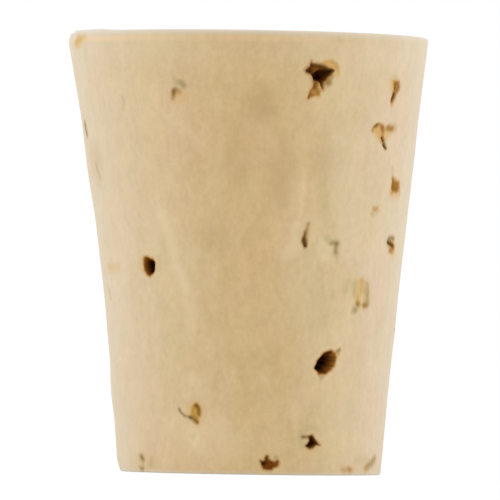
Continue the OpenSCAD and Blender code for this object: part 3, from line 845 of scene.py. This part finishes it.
def small_stains():
    """Shallow spots and smears of the front."""
    upper = marker(side_place(-25.7, 0.8585))
    middle = marker(side_place(8.5, 0.8178))
    right = marker(side_place(25.6, 0.62))
    low = marker(side_place(32, 0.4126))
    streak = marker(side_place(-29.5, 0.4815))
    flank = marker(side_place(-66.8, 0.4659))
    lower_left = marker(side_place(-50.3, 0.0215))
    lower_right = marker(side_place(48.5, 0.0135))
    edge = marker(side_place(63.8, 0.0255))
    upper_gold = [(-0.3, -0.05), (0.05, 0.05), (0.55, 0.1), (0.8, -0.15), (0.7, -0.55),
                  (0.35, -0.7), (-0.05, -0.6)]
    lower_gold = [(-1.2, 0.5), (0.6, 0.55), (1.3, 0.4), (1.25, -0.3), (0.15, -0.45), (-1.1, -0.4)]
    edge_green = [(-1.75, 0.5), (-0.4, 0.5), (0.1, 0.3), (-0.85, -0.05), (-1.65, 0)]
    edge_tan = [(0.45, -0.05), (-0.4, -0.45), (-0.9, -0.4), (-0.6, -0.15), (-0.15, 0.05)]
    flank_tan = [(-0.85, 0.2), (1.1, 0.25), (1.05, -0.2), (-0.65, -0.35)]
    streak_top = [(-0.95, 2.85), (-0.45, 1.8), (-0.25, 0.7), (-0.1, 0), (0.25, -0.8), (0.6, -1.6)]
    streak_low = [(0.7, -1.85), (0.8, -3.05), (0.7, -4.8)]
    streak_edge = [(1.6, 0), (1.7, -1.7), (1.95, -2.65), (2.15, -4.15)]
    return [
        streak(streak_top, CREAM, 0.4, 0.65, width=0.6, passes=1),
        streak(streak_low, CREAM, 0.2, 0.9, width=0.8, passes=1),
        streak(streak_edge, GOLD, 0.15, 0.5, width=0.35, passes=1),
        middle([(-0.2, 0.05), (0, -0.1)], MOSS, 0.5, 0.4, width=0.3),
        middle([(-0.7, 0), (-0.55, -0.1)], MOSS, 0.3, 0.4, width=0.3),
        middle([(2.65, -1.3), (2.85, -1.5)], MOSS, 0.25, 0.4, width=0.25),
        middle([(3.85, 4.45), (4, 4.3)], MOSS, 0.35, 0.4, width=0.3),
        right([(0.15, 1.2), (0.35, 0), (0.5, -1.3)], MOSS, 0.25, 0.6, width=0.4, passes=1),
        right([(2.35, 3.3), (2.2, 2.15), (2.1, 1.1)], CREAM, 0.3, 0.4, width=0.25, passes=1),
        low([(-0.55, 0.35), (-0.4, -0.55)], MOSS, 0.35, 0.4, width=0.25),
        low([(0.15, 0.1), (0.1, -0.35)], MOSS, 0.3, 0.4, width=0.25),
        low([(-3.25, -3.9), (-3.15, -5)], GOLD, 0.2, 0.6, width=0.4, passes=1),
        Mark(side_place(-47.3, 0.8356), [(0, 0.5), (0.1, 0.05), (-0.05, -0.4)], MOSS, 0.5, 0.35,
             width=0.15),
        upper(upper_gold, HONEY, 0.65, 0.5, passes=1),
        upper([(0.12, 0.85), (0.2, 0.5)], MOSS, 0.7, 0.35, width=0.24),
        upper([(0.5, 0.62), (0.72, 0.42)], OLIVE, 0.65, 0.4, width=0.34),
        upper([(0.35, 0.1), (0.4, 0)], AMBER, 0.6, 0.35, width=0.25),
        upper([(0.2, 0.2), (0, 0.1)], OLIVE, 0.7, 0.3, width=0.25, depth=0.05, passes=3),
        upper([(0.02, 0.1), (0, -0.05)], BRONZE, 0.8, 0.35, width=0.32, depth=0.08, passes=3),
        upper([(-0.02, -0.1), (-0.06, -0.38)], BRONZE, 0.6, 0.3, width=0.2, depth=0.05, passes=3),
        lower_left(lower_gold, FLAX, 0.25, 0.6, passes=1),
        lower_left([(-0.65, 0.45), (-0.45, 0.4)], OLIVE, 0.6, 0.3, width=0.22, passes=3),
        lower_left([(-0.42, 0.32), (-0.34, 0.22)], BRONZE, 0.7, 0.4, width=0.34, depth=0.06,
                   passes=3),
        lower_left([(-0.6, -0.33), (-0.4, -0.35)], OLIVE, 0.75, 0.3, width=0.25, depth=0.06,
                   passes=3),
        lower_left([(-0.4, 0.1), (-0.5, -0.2)], MOSS, 0.6, 0.3, width=0.15),
        lower_left([(0.45, 0.25), (0.4, -0.2)], MOSS, 0.6, 0.3, width=0.18),
        lower_right([(-0.6, 0), (0.4, 0)], HONEY, 0.5, 0.35, width=0.35),
        lower_right([(0, 0), (0.15, -0.05)], AMBER, 0.6, 0.4, width=0.38, depth=0.05, passes=3),
        lower_right([(-0.55, 0), (-0.4, -0.05)], AMBER, 0.4, 0.4, width=0.32),
        edge(edge_green, MOSS, 0.3, 0.5, passes=1),
        edge(edge_tan, PEEL, 0.6, 0.4, passes=1),
        edge([(0.9, 0.3), (0.25, 0), (-0.3, -0.22)], MOSS, 0.6, 0.5, width=0.6, passes=1),
        edge([(0.85, 0.28), (0.25, 0), (-0.25, -0.2)], BRONZE, 0.45, 0.5, width=0.38, depth=0.04,
             passes=3),
        flank(flank_tan, HONEY, 0.5, 0.4, passes=1),
        Mark(side_place(-72.3, 0.4037), [(-0.05, 0.2), (0, -0.25)], MOSS, 0.6, 0.35, width=0.25),
        Mark(side_place(-77.3, 0.7793), [(-0.15, 0.3), (0, -0.25)], OLIVE, 0.8, 0.4, width=0.5),
        Mark(side_place(-69.1, 0.6889), [(-0.25, 0.3), (-0.1, -0.05), (0.15, -0.55)], MOSS, 0.7,
             0.35, width=0.2)]


def worn_rim():
    """The bruised corner of the wide end and the small nicks round its rim."""
    corner = marker(side_place(-68.5, 0.98))
    edge = marker(rim_place(-84))
    corner_gold = [(-1.1, -0.35), (-0.9, 0), (-0.3, 0.2), (0.4, 0.28), (1.2, 0.2), (1.3, 0.05),
                   (0.5, -0.1), (0, -0.35), (-0.6, -0.5)]
    corner_spot = [(-1.2, 0), (-0.8, 0.25), (0, 0.35), (0.9, 0.3), (0.9, 0.08), (0.3, -0.12),
                   (-0.3, -0.35), (-1, -0.45)]
    edge_wear = [(-3.6, 0), (-2.4, 0.5), (0.5, 0.55), (1.8, 0.4), (3.1, 0), (1.8, -0.25),
                 (0.5, -0.38), (-2.4, -0.35)]
    top_gold = [(-2.4, -0.9), (-1.7, -0.1), (-0.9, 0.4), (-0.4, -0.1), (0.1, 0.2), (0.7, 0.6),
                (1.2, 0.1), (1.9, 0), (2.6, -0.6), (2.6, -1.2), (0, -1.5)]
    marks = [
        edge(edge_wear, PEEL, 0, 0.5, depth=0.27, wall=0.45),
        Mark(end_place(1.6, -10.4, True), top_gold, PEEL, 0.4, 0.6, passes=1, behind=-1.1),
        corner(corner_gold, PEEL, 0.75, 0.6, depth=0.04, wall=0.5, behind=0),
        corner(corner_spot, FLAX, 0.55, 0.6),
        corner([(-0.9, -0.15), (-0.5, 0.05), (0.3, 0.1)], TAWNY, 0.2, 0.5, width=0.4)]
    for angle, wide in ((104, 0.8), (139, 1.3), (187, 0.6), (214, 1.6), (251, 0.9)):
        nick = side_place(angle, 0.99)
        marks.append(Mark(nick, [(-wide / 2, 0.1), (wide / 2, 0.2)], PEEL, 0.5, 0.4, width=0.5,
                          depth=0.08, passes=1, behind=0.2))
    return marks


def broad_patches():
    """Broad paler and browner patches of the front."""
    marks = []
    for angle, share, wide, tall, tone, show, seed in (
            (-35, 0.85, 1.8, 7.5, CORK_PALE, 0.18, 80), (-34, 0.91, 1.5, 2.7, CREAM, 0.06, 81),
            (33, 0.89, 3.6, 4.5, CREAM, 0.18, 82), (23, 0.85, 1.9, 1.7, CORK_PALE, 0.22, 83),
            (21, 0.57, 1.6, 2.2, CREAM, 0.14, 84), (-42, 0.51, 2.7, 3.0, CREAM, 0.1, 85),
            (-26, 0.42, 2.2, 5.0, CREAM, 0.09, 86), (39, 0.33, 2.6, 3.2, CREAM, 0.15, 87),
            (36, 0.2, 4.3, 2.5, CORK_PALE, 0.2, 88), (-29, 0.09, 5.7, 3.2, CREAM, 0.18, 89),
            (-16, 0.08, 4.2, 3.4, CREAM, 0.24, 99), (-30, 0.97, 5.0, 2.0, CREAM, 0.16, 79),
            (42, 0.07, 4.0, 2.2, CORK_PALE, 0.2, 90), (51, 0.56, 2.0, 5.2, CREAM, 0.12, 91),
            (-4, 0.33, 2.2, 3.7, CORK_PALE, 0.1, 92), (3, 0.83, 2.7, 3.5, CORK_ROSE, 0.34, 93),
            (11, 0.68, 2.2, 5.2, CORK_ROSE, 0.36, 94), (-4, 0.7, 2.2, 5.0, CORK_ROSE, 0.24, 95),
            (-11, 0.53, 2.5, 3.2, CORK_ROSE, 0.18, 96), (27, 0.71, 2.6, 2.6, CORK_ROSE, 0.22, 97),
            (-70, 0.7, 2.9, 3.7, CORK_ROSE, 0.18, 98)):
        marks.append(Mark(side_place(angle, share), ragged(wide, tall, seed), tone, show, 1.4,
                          passes=0))
    return marks


def back_pores():
    """Pores of the back: where each is, its width and height, and whether it is open."""
    marks = []
    for angle, share, wide, tall, is_open, seed in (
            (128, 0.83, 0.9, 1.7, True, 21), (146, 0.58, 1.3, 1.0, True, 22),
            (163, 0.91, 0.7, 0.8, False, 23), (171, 0.22, 1.5, 1.9, True, 24),
            (184, 0.69, 0.8, 1.4, False, 25), (196, 0.41, 1.2, 0.9, True, 26),
            (209, 0.86, 1.6, 1.3, True, 27), (221, 0.12, 0.9, 0.8, True, 28),
            (233, 0.55, 0.7, 1.1, False, 29), (152, 0.06, 1.0, 0.7, True, 30)):
        mark = marker(side_place(angle, share))
        mouth = ragged(wide, tall, seed)
        marks += open_pore(mark, mouth, 0.9) if is_open else crumbled_pore(mark, mouth)
    return marks


BACK_PATCH_SEEDS = range(100, 118)
BACK_STAINS = 26
END_STAINS = 30


def scattered_wear():
    """Broad patches and small stains of the back and the flanks."""
    chance = random.Random(12)
    marks = []
    for seed in BACK_PATCH_SEEDS:
        place = side_place(chance.uniform(90, 270), chance.uniform(0.05, 0.95))
        outline = ragged(chance.uniform(1.6, 4), chance.uniform(2.4, 6), seed)
        tone = chance.choice((CREAM, CORK_PALE, CORK_ROSE))
        marks.append(Mark(place, outline, tone, chance.uniform(0.14, 0.3), 1.4, passes=0))
    for stain in range(BACK_STAINS):
        place = side_place(chance.uniform(80, 280), chance.uniform(0.03, 0.97))
        tall = chance.uniform(0.1, 0.9)
        lean = chance.uniform(-0.2, 0.2)
        tone = chance.choice((MOSS, OLIVE, GOLD, HONEY))
        stroke = [(-lean, tall / 2), (lean, -tall / 2)]
        marks.append(Mark(place, stroke, tone, chance.uniform(0.35, 0.8), 0.35,
                          width=chance.uniform(0.15, 0.4)))
        if stain % 3 == 0:
            marks.append(Mark(place, [(0, 0), (lean, -0.12)], BRONZE, 0.85, 0.3, width=0.26,
                              depth=0.08, passes=3))
    return marks


def flank_channels():
    """Pore channels that break out along both flanks, level with the ends."""
    marks = []
    for angle, share, wide, tall, seed in (
            (-111, 0.466, 2.0, 0.6, 41), (-114, 0.77, 2.4, 0.8, 42), (-112, 0.16, 1.6, 0.5, 43),
            (-117, 0.3, 2.2, 0.9, 44), (88, 0.92, 3.4, 0.6, 45), (94, 0.66, 5.4, 1.0, 46),
            (87, 0.37, 3.0, 0.6, 47), (97, 0.13, 4.4, 0.8, 48)):
        marks += channel(marker(side_place(GRAIN_TURN + angle, share)), wide, tall, seed)
    return marks


def end_channels():
    """Pore channels that lie open across both ends, along the grain."""
    marks = []
    for along, across, top, wide, tall, seed in (
            (-3.5, -5.4, True, 6.5, 0.9, 61), (4.2, -2.1, True, 5.0, 0.7, 62),
            (-2.0, 1.6, True, 8.5, 1.1, 63), (3.6, 5.7, True, 4.6, 0.8, 64),
            (2.2, -3.6, False, 4.4, 0.7, 71), (-1.6, 0.4, False, 6.2, 1.0, 72),
            (1.8, 4.1, False, 3.4, 0.6, 73)):
        marks += channel(marker(end_place(along, across, top)), wide, tall, seed)
    return marks


def end_stains():
    """Short stains and small pits of both ends, along the grain."""
    chance = random.Random(31)
    marks = []
    for stain in range(END_STAINS):
        top = stain % 5 < 3
        away = chance.uniform(0.1, 0.88) * (LARGE_R if top else SMALL_R)
        turn = chance.uniform(0, 2 * math.pi)
        place = end_place(away * math.cos(turn), away * math.sin(turn), top)
        long = chance.uniform(0.2, 1.6)
        lean = chance.uniform(-0.1, 0.1)
        tone = chance.choice((HONEY, GOLD, AMBER, OLIVE))
        stroke = [(-long / 2, lean), (long / 2, -lean)]
        marks.append(Mark(place, stroke, tone, chance.uniform(0.3, 0.7), 0.3,
                          width=chance.uniform(0.12, 0.3), passes=1))
        if stain % 4 == 0:
            pit = [(-long / 5, 0), (long / 5, 0)]
            marks.append(Mark(place, pit, RUST, 0.9, 0.25, width=0.24, depth=0.25, wall=0.15,
                              deep=UMBER))
    return marks


def stopper():
    """The stopper, one piece of cork."""
    marks = (broad_patches() + worn_rim() + small_stains() + star_pore() + comma_pore()
             + heart_pore() + right_side_pores() + middle_pores() + oval_pore() + chip_pore()
             + tick_pore() + foot_pores() + scattered_wear() + back_pores() + flank_channels()
             + end_stains() + end_channels())
    # Without a seed, Blender takes the clock's for its noise vectors.
    noise.seed_set(TEAR_SEED)
    blank = turned_blank()
    ground_to_shape(blank)
    refine(blank, marks)
    cut(blank, marks)
    for face in blank.faces:
        face.smooth = True
    bmesh.ops.scale(blank, vec=(MM, MM, MM), verts=blank.verts)
    mesh = bpy.data.meshes.new("cork_stopper")
    blank.to_mesh(mesh)
    blank.free()
    mesh.materials.append(cork_finish())
    piece = bpy.data.objects.new("cork_stopper", mesh)
    bpy.context.scene.collection.objects.link(piece)
    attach(piece, "root")
    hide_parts("stopper")


CAMERA_AT = Vector((0, -510, 7.9)) * MM
CAMERA_AIM = Vector((-0.1375, 0, 13.779)) * MM
CAMERA_ROLL = math.radians(0.867)
IMAGE_PX = 500
LENS_PX = 8239
SENSOR_MM = 36
# How near and how far the camera sees, in metres.
SIGHT = (0.05, 10)


def camera():
    """The camera: low, far off and a little rolled."""
    data = bpy.data.cameras.new("camera")
    data.sensor_width = SENSOR_MM
    data.lens = LENS_PX / IMAGE_PX * SENSOR_MM
    data.clip_start, data.clip_end = SIGHT
    view = bpy.data.objects.new("camera", data)
    turn = (CAMERA_AIM - CAMERA_AT).to_track_quat("-Z", "Y").to_matrix().to_4x4()
    roll = Matrix.Rotation(CAMERA_ROLL, 4, "Z")
    view.matrix_world = Matrix.Translation(CAMERA_AT) @ turn @ roll
    bpy.context.scene.collection.objects.link(view)
    bpy.context.scene.camera = view


# The lamps and the floor are in metres and watts.
LAMP_OUT = 0.47
LAMP_FRONT = 0.15
LAMP_HEIGHT = 0.15
LAMP_SIZE = 0.3
LAMP_WATTS = 0.6
# How bright the room is where it only gives light.
ROOM_LEVEL = 0.85
FLOOR_SIZE = 2
PAPER_WHITE = (0.86, 0.86, 0.85, 1)
# The floor glows a little over white, and shows so much of the glow over its own shade.
PAPER_GLOW = 1.025
GLOW_SHARE = 0.92
# The floor lies a hair below the foot, in millimetres, so that the two faces don't meet.
HAIR = 0.02


def soft_box(name, at):
    """A round area lamp turned to the stopper."""
    data = bpy.data.lights.new(name, "AREA")
    data.shape = "DISK"
    data.size = LAMP_SIZE
    data.energy = LAMP_WATTS
    lamp = bpy.data.objects.new(name, data)
    lamp.location = at
    aim = Vector((0, 0, LENGTH / 2 * MM)) - Vector(at)
    lamp.rotation_euler = aim.to_track_quat("-Z", "Y").to_euler()
    bpy.context.scene.collection.objects.link(lamp)


def seen_directly(finish):
    """1 where the camera, a reflection or clear glass sees it, 0 where it only gives light."""
    rays = finish.node("ShaderNodeLightPath")
    seen = rays.other("Is Camera Ray")
    for kind in ("Is Glossy Ray", "Is Transmission Ray"):
        seen = finish.node("ShaderNodeMath", {"operation": "MAXIMUM"},
                           {0: seen, 1: rays.other(kind)})
    return seen


def floor():
    """White paper that keeps the stopper's shadow."""
    bench = bmesh.new()
    bmesh.ops.create_grid(bench, x_segments=1, y_segments=1, size=FLOOR_SIZE)
    bmesh.ops.translate(bench, vec=(0, 0, -HAIR * MM), verts=bench.verts)
    mesh = bpy.data.meshes.new("floor")
    bench.to_mesh(mesh)
    bench.free()
    paper = Finish(bpy.data.materials.new("white_paper"))
    matt = paper.node("ShaderNodeBsdfDiffuse", {}, {"Color": PAPER_WHITE})
    glow = paper.node("ShaderNodeEmission", {}, {"Color": (1, 1, 1, 1), "Strength": PAPER_GLOW})
    lit = seen_directly(paper) * GLOW_SHARE
    surface = paper.node("ShaderNodeMixShader", {}, {0: lit, 1: matt, 2: glow})
    paper.node("ShaderNodeOutputMaterial", {}, {"Surface": surface})
    mesh.materials.append(paper.owner)
    plane = bpy.data.objects.new("floor", mesh)
    bpy.context.scene.collection.objects.link(plane)


def studio():
    """A white room with a soft box on each side."""
    world = bpy.data.worlds.new("studio")
    bpy.context.scene.world = world
    room = Finish(world)
    level = ROOM_LEVEL + (1 - ROOM_LEVEL) * seen_directly(room)
    light = room.node("ShaderNodeBackground", {}, {"Color": (1, 1, 1, 1), "Strength": level})
    room.node("ShaderNodeOutputWorld", {}, {"Surface": light})
    soft_box("left_box", (-LAMP_OUT, -LAMP_FRONT, LAMP_HEIGHT))
    soft_box("right_box", (LAMP_OUT, -LAMP_FRONT, LAMP_HEIGHT))
    bpy.context.scene.view_settings.view_transform = "Standard"


camera()
studio()
floor()
stopper()
